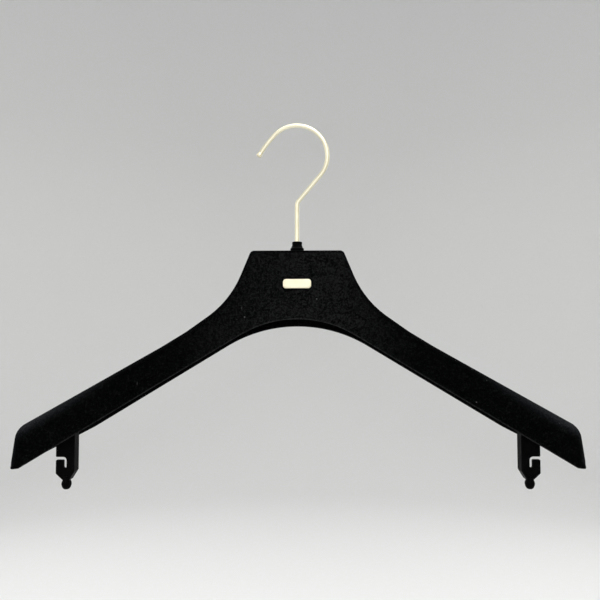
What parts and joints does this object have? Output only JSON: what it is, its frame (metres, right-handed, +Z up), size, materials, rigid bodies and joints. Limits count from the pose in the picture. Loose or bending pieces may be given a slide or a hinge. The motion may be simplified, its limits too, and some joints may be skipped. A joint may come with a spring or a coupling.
{
  "type": "clothes hanger",
  "caption": "Contoured black velvet-flocked suit hanger with a swivelling gold wire hook, a blank badge and folding skirt-loop hooks under the arms.",
  "frame": {"origin": "rail seat: the inner apex of the wire hook, where it sits on the rail", "axes": "+X along the arms to the wearer's left as seen from the front, +Y from the front face to the rear, +Z up, so the hanger hangs below the origin"},
  "size_m": [0.3926, 0.0348, 0.2603],
  "materials": {
    "flocked_plastic": "black velvet flock over moulded plastic",
    "black_plastic": "glossy black moulded",
    "champagne_plate": "satin champagne-gold plating over steel",
    "zinc_steel": "bright zinc"
  },
  "bodies": {
    "hook": {"hook": "champagne_plate", "hook_washer": "zinc_steel", "hook_nut": "zinc_steel"},
    "hanger": {"front_shell": "flocked_plastic", "rear_shell": "flocked_plastic", "hook_collar": "black_plastic", "badge": "champagne_plate", "badge_push_nut_left": "zinc_steel", "badge_push_nut_right": "zinc_steel", "left_pivot_pin": "zinc_steel", "right_pivot_pin": "zinc_steel"},
    "left_loop": {"left_loop_hook": "black_plastic"},
    "right_loop": {"right_loop_hook": "black_plastic"}
  },
  "joints": [
    {"name": "hook_swivel", "type": "hinge", "parent": "hook", "child": "hanger", "pos_m": [0, 0, -0.0901], "axis": [0, 0, 1], "continuous": true},
    {"name": "left_loop_fold", "type": "hinge", "parent": "hanger", "child": "left_loop", "pos_m": [-0.1615, -0.0085, -0.2118], "axis": [0, -1, 0], "range_deg": [0, 118]},
    {"name": "right_loop_fold", "type": "hinge", "parent": "hanger", "child": "right_loop", "pos_m": [0.1615, -0.0085, -0.2118], "axis": [0, 1, 0], "range_deg": [0, 118]}
  ]
}
